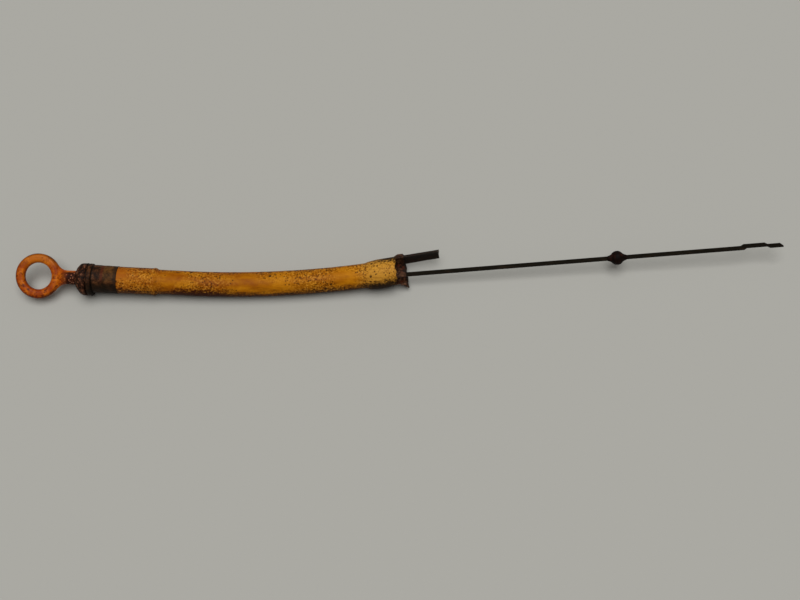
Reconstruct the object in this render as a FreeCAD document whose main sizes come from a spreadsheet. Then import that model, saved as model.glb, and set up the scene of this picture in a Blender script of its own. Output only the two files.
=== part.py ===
import FreeCAD, Part
import math
import os
import Sketcher

# Working frame: X runs along the straight upper run of the guide tube, away from the ring, with
# zero at the edge between the stopper's dome and its flange. Y points to the inside of the bend.
# Z looks up out of the bend.
# Every finished body is then laid down as it comes to rest: see lying_pose.

# Two edges closer than this, in mm, are the same edge.
SAME_SPOT = 0.0001
# Sealing lips on the plug, and corners along each broken edge of the socket.
LIPS = 3
UPPER_CORNERS = 8
UNDER_CORNERS = 5

doc = FreeCAD.newDocument("oil_dipstick")
sheet = doc.addObject("Spreadsheet::Sheet", "Dims")

SIZES = (
    # finger ring, neck and stem of the handle
    ("ring_back", 34.1),
    ("ring_mean_radius", 13.45),
    ("ring_half_width", 3.45),
    ("ring_half_height", 3.1),
    ("ring_edge_round", 2.6),
    ("neck_root_back", 22.6),
    ("neck_root_half_width", 11.6),
    ("neck_root_half_height", 2.6),
    ("neck_flare_back", 19.9),
    ("neck_flare_half_width", 9.3),
    ("neck_flare_half_height", 3.0),
    ("neck_waist_back", 17.3),
    ("neck_waist_half_width", 6.7),
    ("neck_waist_half_height", 3.9),
    ("neck_shoulder_back", 14.6),
    ("neck_shoulder_half_width", 5.5),
    ("neck_shoulder_half_height", 4.9),
    ("neck_end_back", 11.8),
    ("stem_radius", 5.25),
    ("spigot_radius", 3.6),
    ("spigot_past_plug", 2.0),
    ("spigot_lead", 0.8),
    # rubber stopper, whose head sits low and askew on the stem
    ("head_drop", 0.9),
    ("head_tilt", 5.0),
    ("dome_length", 5.2),
    ("dome_front_radius", 6.1),
    ("stem_sink", 0.5),
    ("flange_radius", 12.2),
    ("flange_thickness", 3.2),
    ("flange_front_round", 2.4),
    ("seat_gap", 0.8),
    ("seat_radius", 10.6),
    ("plug_length", 17.0),
    ("plug_core_radius", 6.4),
    ("plug_lead", 1.0),
    ("lip_clearance", 0.05),
    ("lip_first", 2.4),
    ("lip_pitch", 5.0),
    ("lip_width", 1.6),
    ("lip_root_extra", 1.2),
    # collar, whose rim sits low in the same way
    ("rim_drop", 0.8),
    ("rim_radius", 12.2),
    ("rim_thickness", 3.9),
    ("rim_front_round", 0.9),
    ("rim_back_round", 1.5),
    ("sleeve_radius", 10.6),
    ("sleeve_end_radius", 10.35),
    ("collar_length", 22.3),
    ("collar_lip", 2.2),
    # guide tube, upper run
    ("tube_radius", 9.3),
    ("bore_radius", 7.0),
    ("spigot_wall", 1.5),
    ("band_radius", 10.1),
    ("band_end", 52.4),
    ("ridge_height", 0.35),
    ("ridge_width", 1.1),
    ("ridge_slope", 0.6),
    ("straight_run", 75.0),
    # guide tube, bend
    ("bend_radius", 745.0),
    ("bend_turn", 10.28),
    # guide tube, bell socket, which is set low on the end of the bend and turned further round
    ("bell_drop", 0.7),
    ("bell_cock", 2.0),
    ("bell_ramp", 6.5),
    ("bell_start_radius", 10.6),
    ("bell_crest", 13.0),
    ("bell_radius", 11.2),
    ("bell_mouth_radius", 11.0),
    ("socket_radius", 9.4),
    ("socket_shoulder", 9.0),
    # what is left of the socket
    ("tongue_reach", 60.6),
    ("tongue_inner", 4.7),
    ("tongue_root", 35.2),
    # broken edge of the wall towards the viewer: how far each corner stands past upper_break and
    # how far it lies off the socket's axis, from the inside of the bend to the outside
    ("upper_break", 25.3),
    ("upper_1_out", 3.5),
    ("upper_1_off", 11.3),
    ("upper_2_out", 2.0),
    ("upper_2_off", 9.9),
    ("upper_3_out", 1.2),
    ("upper_3_off", 6.4),
    ("upper_4_out", 0.1),
    ("upper_4_off", 2.3),
    ("upper_5_out", 1.1),
    ("upper_5_off", -0.7),
    ("upper_6_out", 0.2),
    ("upper_6_off", -2.8),
    ("upper_7_out", 0.7),
    ("upper_7_off", -5.8),
    ("upper_8_out", -0.7),
    ("upper_8_off", -9.2),
    # broken edge of the wall under it, in the same way
    ("under_break", 34.0),
    ("under_1_out", 0.2),
    ("under_1_off", 4.6),
    ("under_2_out", 0.6),
    ("under_2_off", 1.2),
    ("under_3_out", -0.3),
    ("under_3_off", -2.3),
    ("under_4_out", 0.4),
    ("under_4_off", -5.8),
    ("under_5_out", -0.2),
    ("under_5_off", -9.2),
    # sloping loss along the outside of the bend
    ("notch_start", 17.5),
    ("notch_middle", 22.4),
    ("notch_middle_off", 10.2),
    ("notch_floor", 27.8),
    ("notch_floor_off", 9.5),
    ("notch_end", 28.8),
    # flake splayed to the outside of the bend and shard splayed to the inside
    ("splinter_base", 10.3),
    ("flake_start", 29.0),
    ("flake_end", 33.6),
    ("flake_tip_start", 33.1),
    ("flake_tip_end", 34.1),
    ("flake_reach", 13.8),
    ("flake_depth", 4.4),
    ("flake_thickness", 1.9),
    ("shard_start", 24.6),
    ("shard_end", 34.6),
    ("shard_tip_start", 28.6),
    ("shard_tip_end", 32.8),
    ("shard_reach", 12.6),
    ("shard_depth", 2.6),
    ("shard_thickness", 2.4),
    # blade
    ("blade_width", 3.3),
    ("blade_thickness", 0.85),
    ("blade_set_in", 11.0),
    ("blade_bend_start", 66.5),
    ("blade_bend_radius", 931.6),
    ("blade_turn", 7.37),
    ("free_length", 339.4),
    ("jog_shift", 1.2),
    ("jog_slope", 2.2),
    ("jog_lag", 2.3),
    ("mark_spacing", 17.8),
    ("mark_to_tip", 14.2),
    ("tip_cut", 2.6),
    ("tip_end_width", 1.2),
    # bead
    ("bead_station", 214.3),
    ("bead_length", 14.4),
    ("bead_radius", 5.4),
    ("bead_ball_length", 9.0),
    ("bead_end_radius", 1.9),
    # how far a cutting sketch runs past the body it cuts
    ("cut_over", 6.0),
)

for row, (alias, number) in enumerate(SIZES, 1):
    sheet.set(f"A{row}", alias)
    sheet.set(f"B{row}", str(number))
    sheet.setAlias(f"B{row}", alias)
doc.recompute()


def value(expression):
    """Number that an expression on the sheet gives."""
    return float(sheet.evalExpression(expression))


def size(alias):
    """One size from the sheet."""
    return float(sheet.get(alias))


def new_body(label):
    body = doc.addObject("PartDesign::Body", label)
    body.Label = label
    return body


def plane_of(body, role):
    return next(item for item in body.Origin.OriginFeatures if item.Role == role)


def new_sketch(body, name, role, along=None, turned=None):
    """Sketch on an origin plane, moved along its normal or set into a turned frame."""
    sketch = body.newObject("Sketcher::SketchObject", name)
    sketch.AttachmentSupport = [(plane_of(body, role), "")]
    sketch.MapMode = "FlatFace"
    if along:
        sketch.setExpression("AttachmentOffset.Base.z", along)
    if turned:
        across, up, angle = turned
        axis = FreeCAD.Vector(0, 0, 1)
        spin = FreeCAD.Rotation(axis, value(angle))
        sketch.AttachmentOffset = FreeCAD.Placement(FreeCAD.Vector(), spin)
        sketch.setExpression("AttachmentOffset.Base.x", across)
        sketch.setExpression("AttachmentOffset.Base.y", up)
        sketch.setExpression("AttachmentOffset.Rotation.Angle", angle)
    return sketch


def hold(sketch, geo, end, across, up):
    """Pin one point of a sketch to a pair of expressions."""
    for kind, axis_geo, text in (("DistanceX", -2, across), ("DistanceY", -1, up)):
        if text == "0":
            sketch.addConstraint(Sketcher.Constraint("PointOnObject", geo, end, axis_geo))
            continue
        made = Sketcher.Constraint(kind, -1, 1, geo, end, value(text))
        index = sketch.addConstraint(made)
        sketch.setExpression(f"Constraints[{index}]", text)


def outline(body, name, corners, role="XY_Plane", along=None, turned=None):
    """Closed outline. A corner is (across, up), or (across, up, radius) where the run to the next
    corner is an arc that bulges to the left of the way it runs."""
    sketch = new_sketch(body, name, role, along, turned)
    spots = [FreeCAD.Vector(value(c[0]), value(c[1]), 0) for c in corners]
    count = len(corners)
    ends = []
    for i, corner in enumerate(corners):
        here = spots[i]
        there = spots[(i + 1) % count]
        if len(corner) == 2:
            sketch.addGeometry(Part.LineSegment(here, there), False)
            ends.append((1, 2))
            continue
        reach = value(corner[2])
        chord = there - here
        right = FreeCAD.Vector(chord.y, -chord.x, 0).normalize()
        drop = math.sqrt(reach**2 - (chord.Length / 2) ** 2)
        centre = (here + there) * 0.5 + right * drop
        circle = Part.Circle(centre, FreeCAD.Vector(0, 0, 1), reach)
        first = math.atan2(there.y - centre.y, there.x - centre.x)
        last = math.atan2(here.y - centre.y, here.x - centre.x)
        sketch.addGeometry(Part.ArcOfCircle(circle, first, last), False)
        ends.append((2, 1))
    for i in range(count):
        after = (i + 1) % count
        joined = Sketcher.Constraint("Coincident", i, ends[i][1], after, ends[after][0])
        sketch.addConstraint(joined)
    for i, corner in enumerate(corners):
        hold(sketch, i, ends[i][0], corner[0], corner[1])
        if len(corner) > 2:
            index = sketch.addConstraint(Sketcher.Constraint("Radius", i, value(corner[2])))
            sketch.setExpression(f"Constraints[{index}]", corner[2])
    doc.recompute()
    return sketch


def round_section(body, name, radius, along):
    """Circle across the X axis."""
    sketch = new_sketch(body, name, "YZ_Plane", along)
    circle = Part.Circle(FreeCAD.Vector(), FreeCAD.Vector(0, 0, 1), value(radius))
    sketch.addGeometry(circle, False)
    sketch.addConstraint(Sketcher.Constraint("Coincident", 0, 3, -1, 1))
    index = sketch.addConstraint(Sketcher.Constraint("Radius", 0, value(radius)))
    sketch.setExpression(f"Constraints[{index}]", radius)
    doc.recompute()
    return sketch


def oval_section(body, name, wide, high, along):
    """Ellipse across the X axis, its long axis along Y."""
    sketch = new_sketch(body, name, "YZ_Plane", along)
    end = FreeCAD.Vector(value(wide), 0, 0)
    top = FreeCAD.Vector(0, value(high), 0)
    sketch.addGeometry(Part.Ellipse(end, top, FreeCAD.Vector()), False)
    sketch.exposeInternalGeometry(0)
    sketch.addConstraint(Sketcher.Constraint("Coincident", 0, 3, -1, 1))
    sketch.addConstraint(Sketcher.Constraint("Horizontal", 1))
    for line, half in ((1, wide), (2, high)):
        index = sketch.addConstraint(Sketcher.Constraint("Distance", line, 2 * value(half)))
        sketch.setExpression(f"Constraints[{index}]", f"2 * ({half})")
    doc.recompute()
    return sketch


def add_axis(sketch, across, half_length):
    """Upright construction line for a revolution to turn about. Gives the axis's name."""
    drawn = enumerate(sketch.Geometry)
    before = [g for i, g in drawn if sketch.getConstruction(i) and isinstance(g, Part.LineSegment)]
    x = value(across)
    y = value(half_length)
    line = Part.LineSegment(FreeCAD.Vector(x, -y, 0), FreeCAD.Vector(x, y, 0))
    geo = sketch.addGeometry(line, True)
    hold(sketch, geo, 1, across, f"-({half_length})")
    hold(sketch, geo, 2, across, half_length)
    doc.recompute()
    return f"Axis{len(before)}"


def feature(body, kind, name, sketch):
    made = body.newObject(f"PartDesign::{kind}", name)
    made.Profile = sketch
    return made


def turn(body, kind, name, sketch, axis="H_Axis", angle=None):
    """Revolution or groove about one of the sketch's own axes."""
    made = feature(body, kind, name, sketch)
    made.ReferenceAxis = (sketch, [axis])
    if angle:
        made.setExpression("Angle", angle)
    doc.recompute()
    return made


def slab(body, kind, name, sketch, thickness):
    """Pad or pocket of one thickness, half of it on each side of the sketch."""
    made = feature(body, kind, name, sketch)
    made.SideType = "Symmetric"
    made.setExpression("Length", thickness)
    doc.recompute()
    return made


def one_side(body, kind, name, sketch, depth, reverse):
    made = feature(body, kind, name, sketch)
    made.Reversed = reverse
    made.setExpression("Length", depth)
    doc.recompute()
    return made


def ring_edges(body, radius, station):
    """Names of the circular edges about X with one radius at one station."""
    found = []
    for index, edge in enumerate(body.Shape.Edges, 1):
        curve = edge.Curve
        if not isinstance(curve, Part.Circle):
            continue
        off = abs(curve.Radius - value(radius)) + abs(curve.Center.x - value(station))
        if off < SAME_SPOT:
            found.append(f"Edge{index}")
    return found


def soften(body, name, radius, station, round_size):
    """Fillet on one circular edge about X."""
    base = body.Tip
    made = body.newObject("PartDesign::Fillet", name)
    made.Base = (base, ring_edges(base, radius, station))
    made.setExpression("Radius", round_size)
    doc.recompute()
    return made


# Stations along X: where the stopper bears on the collar, and what is placed from there.
SEAT = "(Dims.flange_thickness + Dims.seat_gap)"
PLUG_END = f"({SEAT} + Dims.plug_length)"
SPIGOT_END = f"({PLUG_END} + Dims.spigot_past_plug)"
RIM_END = f"({SEAT} + Dims.rim_thickness)"
COLLAR_END = f"({SEAT} + Dims.collar_length)"
TUBE_TOP = f"({SEAT} + Dims.collar_lip)"
# Outer radius of the tube's spigot, which is the collar's bore.
TUBE_SPIGOT = "(Dims.bore_radius + Dims.spigot_wall)"

# Handle: ring, flared neck, round stem and the spigot that carries the stopper, one moulding.
handle = new_body("handle")
RING_IN = "(Dims.ring_mean_radius - Dims.ring_back - Dims.ring_half_width)"
RING_OUT = "(Dims.ring_mean_radius - Dims.ring_back + Dims.ring_half_width)"
RING_FLAT = "(Dims.ring_half_height - Dims.ring_edge_round)"
ring_section = outline(
    handle,
    "RingSection",
    (
        (RING_IN, f"-{RING_FLAT}"),
        (RING_IN, RING_FLAT, "Dims.ring_edge_round"),
        (f"{RING_IN} + Dims.ring_edge_round", "Dims.ring_half_height"),
        (f"{RING_OUT} - Dims.ring_edge_round", "Dims.ring_half_height", "Dims.ring_edge_round"),
        (RING_OUT, RING_FLAT),
        (RING_OUT, f"-{RING_FLAT}", "Dims.ring_edge_round"),
        (f"{RING_OUT} - Dims.ring_edge_round", "-Dims.ring_half_height"),
        (f"{RING_IN} + Dims.ring_edge_round", "-Dims.ring_half_height", "Dims.ring_edge_round"),
    ),
    role="XZ_Plane",
)
ring_axis = add_axis(ring_section, "-Dims.ring_back", "Dims.ring_half_height")
turn(handle, "Revolution", "Ring", ring_section, ring_axis)
neck_sections = [
    oval_section(
        handle,
        f"Neck{part.title()}",
        f"Dims.neck_{part}_half_width",
        f"Dims.neck_{part}_half_height",
        f"-Dims.neck_{part}_back",
    )
    for part in ("root", "flare", "waist", "shoulder")
]
neck_end = round_section(handle, "NeckEnd", "Dims.stem_radius", "-Dims.neck_end_back")
neck = feature(handle, "AdditiveLoft", "Neck", neck_sections[0])
neck.Sections = neck_sections[1:] + [neck_end]
doc.recompute()
stem_profile = outline(
    handle,
    "StemProfile",
    (
        ("-Dims.neck_end_back", "0"),
        ("-Dims.neck_end_back", "Dims.stem_radius"),
        ("-Dims.dome_length", "Dims.stem_radius"),
        ("-Dims.dome_length", "Dims.spigot_radius"),
        (f"{SPIGOT_END} - Dims.spigot_lead", "Dims.spigot_radius"),
        (SPIGOT_END, "Dims.spigot_radius - Dims.spigot_lead"),
        (SPIGOT_END, "0"),
    ),
)
turn(handle, "Revolution", "Stem", stem_profile)
blade_slot = outline(
    handle,
    "BladeSlot",
    (
        ("-Dims.blade_set_in", "-Dims.blade_width / 2"),
        (f"{SPIGOT_END} + Dims.cut_over", "-Dims.blade_width / 2"),
        (f"{SPIGOT_END} + Dims.cut_over", "Dims.blade_width / 2"),
        ("-Dims.blade_set_in", "Dims.blade_width / 2"),
    ),
)
slab(handle, "Pocket", "BladeSeat", blade_slot, "Dims.blade_thickness")

# Stopper: a head, dome and flange, that bears on the collar, and a plug with sealing lips inside
# the tube. The head leans on its own axis, and its back is cut square to face the collar.
stopper = new_body("stopper")
HEAD_FRAME = ("0", "-Dims.head_drop", "Dims.head_tilt")
HEAD_FRONT = "(-Dims.dome_length - Dims.stem_sink)"
HEAD_BACK = f"({SEAT} + Dims.seat_gap)"
BACK_CUT = "(Dims.flange_thickness + Dims.cut_over)"
head_profile = outline(
    stopper,
    "HeadProfile",
    (
        (HEAD_FRONT, "0"),
        (HEAD_FRONT, "Dims.dome_front_radius"),
        ("0", "Dims.flange_radius"),
        (HEAD_BACK, "Dims.flange_radius"),
        (HEAD_BACK, "0"),
    ),
    turned=HEAD_FRAME,
)
turn(stopper, "Revolution", "Head", head_profile)
soften(stopper, "FlangeFront", "Dims.flange_radius", "0", "Dims.flange_front_round")
back_profile = outline(
    stopper,
    "BackProfile",
    (
        ("Dims.flange_thickness", "0"),
        ("Dims.flange_thickness", "Dims.flange_radius + Dims.cut_over"),
        (BACK_CUT, "Dims.flange_radius + Dims.cut_over"),
        (BACK_CUT, "0"),
    ),
)
turn(stopper, "Groove", "SquareBack", back_profile)
LIP = "(Dims.bore_radius - Dims.lip_clearance)"
plug_corners = [
    ("0", "0"),
    ("0", "Dims.seat_radius"),
    (SEAT, "Dims.seat_radius"),
    (SEAT, "Dims.plug_core_radius"),
]
for number in range(LIPS):
    start = f"{SEAT} + Dims.lip_first + {number} * Dims.lip_pitch"
    plug_corners += [
        (start, "Dims.plug_core_radius"),
        (f"{start} + Dims.lip_root_extra", LIP),
        (f"{start} + Dims.lip_root_extra + Dims.lip_width / 2", LIP),
        (f"{start} + Dims.lip_root_extra + Dims.lip_width", "Dims.plug_core_radius"),
    ]
plug_corners += [
    (f"{PLUG_END} - Dims.plug_lead", "Dims.plug_core_radius"),
    (PLUG_END, "Dims.plug_core_radius - Dims.plug_lead"),
    (PLUG_END, "0"),
]
turn(stopper, "Revolution", "Plug", outline(stopper, "PlugProfile", plug_corners))
stem_way = outline(
    stopper,
    "StemWayProfile",
    (
        (f"{HEAD_FRONT} - Dims.cut_over", "0"),
        (f"{HEAD_FRONT} - Dims.cut_over", "Dims.stem_radius"),
        ("-Dims.dome_length", "Dims.stem_radius"),
        ("-Dims.dome_length", "Dims.spigot_radius"),
        (f"{PLUG_END} + Dims.cut_over", "Dims.spigot_radius"),
        (f"{PLUG_END} + Dims.cut_over", "0"),
    ),
)
turn(stopper, "Groove", "StemWay", stem_way)

# Collar: thick rim and tapered sleeve over the top end of the tube.
collar = new_body("collar")
rim_profile = outline(
    collar,
    "RimProfile",
    (
        (SEAT, "0"),
        (SEAT, "Dims.rim_radius"),
        (RIM_END, "Dims.rim_radius"),
        (RIM_END, "0"),
    ),
    turned=("0", "-Dims.rim_drop", "0"),
)
turn(collar, "Revolution", "Rim", rim_profile)
soften(collar, "RimFront", "Dims.rim_radius", SEAT, "Dims.rim_front_round")
soften(collar, "RimBack", "Dims.rim_radius", RIM_END, "Dims.rim_back_round")
sleeve_profile = outline(
    collar,
    "SleeveProfile",
    (
        (SEAT, "0"),
        (SEAT, "Dims.sleeve_radius"),
        (RIM_END, "Dims.sleeve_radius"),
        (COLLAR_END, "Dims.sleeve_end_radius"),
        (COLLAR_END, "0"),
    ),
)
turn(collar, "Revolution", "Sleeve", sleeve_profile)
collar_bore = outline(
    collar,
    "CollarBore",
    (
        (SEAT, "0"),
        (SEAT, "Dims.bore_radius"),
        (TUBE_TOP, "Dims.bore_radius"),
        (TUBE_TOP, TUBE_SPIGOT),
        (COLLAR_END, TUBE_SPIGOT),
        (COLLAR_END, "0"),
    ),
)
turn(collar, "Groove", "Bore", collar_bore)

# Guide tube: spigot under the collar, band, ridge, straight run, long bend and bell socket.
guide_tube = new_body("guide_tube")
BEND_END = (
    "Dims.straight_run + Dims.bend_radius * sin(Dims.bend_turn)",
    "Dims.bend_radius * (1 - cos(Dims.bend_turn))",
    "Dims.bend_turn",
)
BELL_FRAME = (
    f"{BEND_END[0]} + Dims.bell_drop * sin(Dims.bend_turn)",
    f"{BEND_END[1]} - Dims.bell_drop * cos(Dims.bend_turn)",
    "(Dims.bend_turn + Dims.bell_cock)",
)
RIDGE = "Dims.band_radius + Dims.ridge_height"
upper_profile = outline(
    guide_tube,
    "UpperProfile",
    (
        (TUBE_TOP, "0"),
        (TUBE_TOP, TUBE_SPIGOT),
        (COLLAR_END, TUBE_SPIGOT),
        (COLLAR_END, "Dims.band_radius"),
        ("Dims.band_end", "Dims.band_radius"),
        ("Dims.band_end + Dims.ridge_slope", RIDGE),
        ("Dims.band_end + Dims.ridge_slope + Dims.ridge_width", RIDGE),
        ("Dims.band_end + 2 * Dims.ridge_slope + Dims.ridge_width", "Dims.tube_radius"),
        ("Dims.straight_run", "Dims.tube_radius"),
        ("Dims.straight_run", "0"),
    ),
)
turn(guide_tube, "Revolution", "UpperRun", upper_profile)
bend_section = round_section(guide_tube, "BendSection", "Dims.tube_radius", "Dims.straight_run")
bend_axis = add_axis(bend_section, "Dims.bend_radius", "Dims.tube_radius")
turn(guide_tube, "Revolution", "Bend", bend_section, bend_axis, "Dims.bend_turn")
stub_profile = outline(
    guide_tube,
    "StubProfile",
    (
        ("0", "0"),
        ("0", "Dims.tube_radius"),
        ("Dims.bell_ramp", "Dims.tube_radius"),
        ("Dims.bell_ramp", "0"),
    ),
    turned=BEND_END,
)
turn(guide_tube, "Revolution", "Stub", stub_profile)
bell_profile = outline(
    guide_tube,
    "BellProfile",
    (
        ("0", "0"),
        ("0", "Dims.tube_radius - Dims.bell_drop"),
        ("Dims.bell_ramp", "Dims.bell_start_radius"),
        ("Dims.bell_crest", "Dims.bell_radius"),
        ("Dims.tongue_reach", "Dims.bell_mouth_radius"),
        ("Dims.tongue_reach", "0"),
    ),
    turned=BELL_FRAME,
)
turn(guide_tube, "Revolution", "Bell", bell_profile)
upper_bore = outline(
    guide_tube,
    "UpperBore",
    (
        (TUBE_TOP, "0"),
        (TUBE_TOP, "Dims.bore_radius"),
        ("Dims.straight_run", "Dims.bore_radius"),
        ("Dims.straight_run", "0"),
    ),
)
turn(guide_tube, "Groove", "BoreUpper", upper_bore)
bend_bore = round_section(guide_tube, "BendBore", "Dims.bore_radius", "Dims.straight_run")
bore_axis = add_axis(bend_bore, "Dims.bend_radius", "Dims.tube_radius")
turn(guide_tube, "Groove", "BoreBend", bend_bore, bore_axis, "Dims.bend_turn")
stub_bore = outline(
    guide_tube,
    "StubBore",
    (
        ("0", "0"),
        ("0", "Dims.bore_radius"),
        ("Dims.bell_crest", "Dims.bore_radius"),
        ("Dims.bell_crest", "0"),
    ),
    turned=BEND_END,
)
turn(guide_tube, "Groove", "BoreStub", stub_bore)
socket_profile = outline(
    guide_tube,
    "SocketProfile",
    (
        ("Dims.socket_shoulder", "0"),
        ("Dims.socket_shoulder", "Dims.socket_radius"),
        ("Dims.tongue_reach", "Dims.socket_radius"),
        ("Dims.tongue_reach", "0"),
    ),
    turned=BELL_FRAME,
)
turn(guide_tube, "Groove", "Socket", socket_profile)

# The break: the wall towards the viewer is lost first, the wall under it further on, one tongue
# of it is left standing, and a sloping piece has gone from the outside of the bend.
OUTSIDE = "(Dims.bell_radius + Dims.cut_over)"
PAST = "(Dims.tongue_reach + Dims.cut_over)"


def broken_edge(wall, count):
    """Corners of one broken edge, in the order that its sizes are listed."""
    numbers = range(1, count + 1)
    return [(f"Dims.{wall}_break + Dims.{wall}_{n}_out", f"Dims.{wall}_{n}_off") for n in numbers]


upper_edge = broken_edge("upper", UPPER_CORNERS)
upper_loss = outline(
    guide_tube,
    "UpperLoss",
    [
        (PAST, f"-{OUTSIDE}"),
        (PAST, OUTSIDE),
        (upper_edge[0][0], OUTSIDE),
        *upper_edge,
        (upper_edge[-1][0], f"-{OUTSIDE}"),
    ],
    turned=BELL_FRAME,
)
one_side(guide_tube, "Pocket", "UpperBreak", upper_loss, OUTSIDE, True)
under_edge = broken_edge("under", UNDER_CORNERS)
under_loss = outline(
    guide_tube,
    "UnderLoss",
    [
        (PAST, f"-{OUTSIDE}"),
        (PAST, "Dims.tongue_inner"),
        ("Dims.tongue_root", "Dims.tongue_inner"),
        *under_edge,
        (under_edge[-1][0], f"-{OUTSIDE}"),
    ],
    turned=BELL_FRAME,
)
one_side(guide_tube, "Pocket", "UnderBreak", under_loss, OUTSIDE, False)
side_loss = outline(
    guide_tube,
    "SideLoss",
    (
        ("Dims.notch_start", f"-{OUTSIDE}"),
        ("Dims.notch_end", f"-{OUTSIDE}"),
        ("Dims.notch_floor", "-Dims.notch_floor_off"),
        ("Dims.notch_middle", "-Dims.notch_middle_off"),
        ("Dims.notch_start", "-Dims.bell_radius"),
    ),
    turned=BELL_FRAME,
)
slab(guide_tube, "Pocket", "SideNotch", side_loss, f"2 * {OUTSIDE}")


def splinter(name, sign):
    """Piece of wall still hanging on, splayed away from the socket to one side of its axis."""
    kind = f"Dims.{name.lower()}"
    drawn = outline(
        guide_tube,
        f"{name}Outline",
        (
            (f"{kind}_start", f"{sign}Dims.splinter_base"),
            (f"{kind}_end", f"{sign}Dims.splinter_base"),
            (f"{kind}_tip_end", f"{sign}{kind}_reach"),
            (f"{kind}_tip_start", f"{sign}{kind}_reach"),
        ),
        along=f"-{kind}_depth",
        turned=BELL_FRAME,
    )
    return one_side(guide_tube, "Pad", name, drawn, f"{kind}_thickness", False)


splinter("Flake", "-")
splinter("Shard", "")

# Blade: flat strip set in the stem, bent with the tube, with two stamped jogs as level marks.
blade = new_body("blade")
EDGE = "Dims.blade_width / 2"
RAISED = "(Dims.blade_width / 2 + Dims.jog_shift)"
LIFTED = "(Dims.jog_shift - Dims.blade_width / 2)"
LAST_MARK = "(Dims.free_length - Dims.mark_to_tip)"
FIRST_MARK = f"({LAST_MARK} - Dims.mark_spacing)"
FREE_START = (
    "Dims.blade_bend_start + Dims.blade_bend_radius * sin(Dims.blade_turn)",
    "Dims.blade_bend_radius * (1 - cos(Dims.blade_turn))",
    "Dims.blade_turn",
)
shank_outline = outline(
    blade,
    "ShankOutline",
    (
        ("-Dims.blade_set_in", f"-{EDGE}"),
        ("Dims.blade_bend_start", f"-{EDGE}"),
        ("Dims.blade_bend_start", EDGE),
        ("-Dims.blade_set_in", EDGE),
    ),
)
slab(blade, "Pad", "Shank", shank_outline, "Dims.blade_thickness")
strip_section = outline(
    blade,
    "StripSection",
    (
        (f"-{EDGE}", "-Dims.blade_thickness / 2"),
        (EDGE, "-Dims.blade_thickness / 2"),
        (EDGE, "Dims.blade_thickness / 2"),
        (f"-{EDGE}", "Dims.blade_thickness / 2"),
    ),
    role="YZ_Plane",
    along="Dims.blade_bend_start",
)
strip_axis = add_axis(strip_section, "Dims.blade_bend_radius", "Dims.blade_width")
turn(blade, "Revolution", "StripBend", strip_section, strip_axis, "Dims.blade_turn")
free_outline = outline(
    blade,
    "FreeOutline",
    (
        ("0", f"-{EDGE}"),
        (f"{FIRST_MARK} + Dims.jog_lag", f"-{EDGE}"),
        (f"{FIRST_MARK} + Dims.jog_lag + Dims.jog_slope", LIFTED),
        (f"{LAST_MARK} + Dims.jog_lag", LIFTED),
        (f"{LAST_MARK} + Dims.jog_lag + Dims.jog_slope", f"-{EDGE}"),
        ("Dims.free_length", f"-{EDGE}"),
        ("Dims.free_length", "Dims.tip_end_width - Dims.blade_width / 2"),
        ("Dims.free_length - Dims.tip_cut", EDGE),
        (f"{LAST_MARK} + Dims.jog_slope", EDGE),
        (LAST_MARK, RAISED),
        (f"{FIRST_MARK} + Dims.jog_slope", RAISED),
        (FIRST_MARK, EDGE),
        ("0", EDGE),
    ),
    turned=FREE_START,
)
slab(blade, "Pad", "FreeRun", free_outline, "Dims.blade_thickness")

# Bead: moulded round the strip, a ball with a short tapered tail at each end. It keeps the blade
# clear of the tube's wall.
bead = new_body("bead")
BEAD_FRAME = (
    f"{FREE_START[0]} + Dims.bead_station * cos(Dims.blade_turn)",
    f"{FREE_START[1]} + Dims.bead_station * sin(Dims.blade_turn)",
    "Dims.blade_turn",
)
BALL_EDGE = "sqrt(Dims.bead_radius^2 - (Dims.bead_ball_length / 2)^2)"
bead_profile = outline(
    bead,
    "BeadProfile",
    (
        ("-Dims.bead_length / 2", "0"),
        ("-Dims.bead_length / 2", "Dims.bead_end_radius"),
        ("-Dims.bead_ball_length / 2", BALL_EDGE, "Dims.bead_radius"),
        ("Dims.bead_ball_length / 2", BALL_EDGE),
        ("Dims.bead_length / 2", "Dims.bead_end_radius"),
        ("Dims.bead_length / 2", "0"),
    ),
    turned=BEAD_FRAME,
)
turn(bead, "Revolution", "Ball", bead_profile)
strip_slot = outline(
    bead,
    "StripSlot",
    (
        ("-Dims.bead_length / 2 - Dims.cut_over", f"-{EDGE}"),
        ("Dims.bead_length / 2 + Dims.cut_over", f"-{EDGE}"),
        ("Dims.bead_length / 2 + Dims.cut_over", EDGE),
        ("-Dims.bead_length / 2 - Dims.cut_over", EDGE),
    ),
    turned=BEAD_FRAME,
)
slab(bead, "Pocket", "StripWay", strip_slot, "Dims.blade_thickness")


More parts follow.
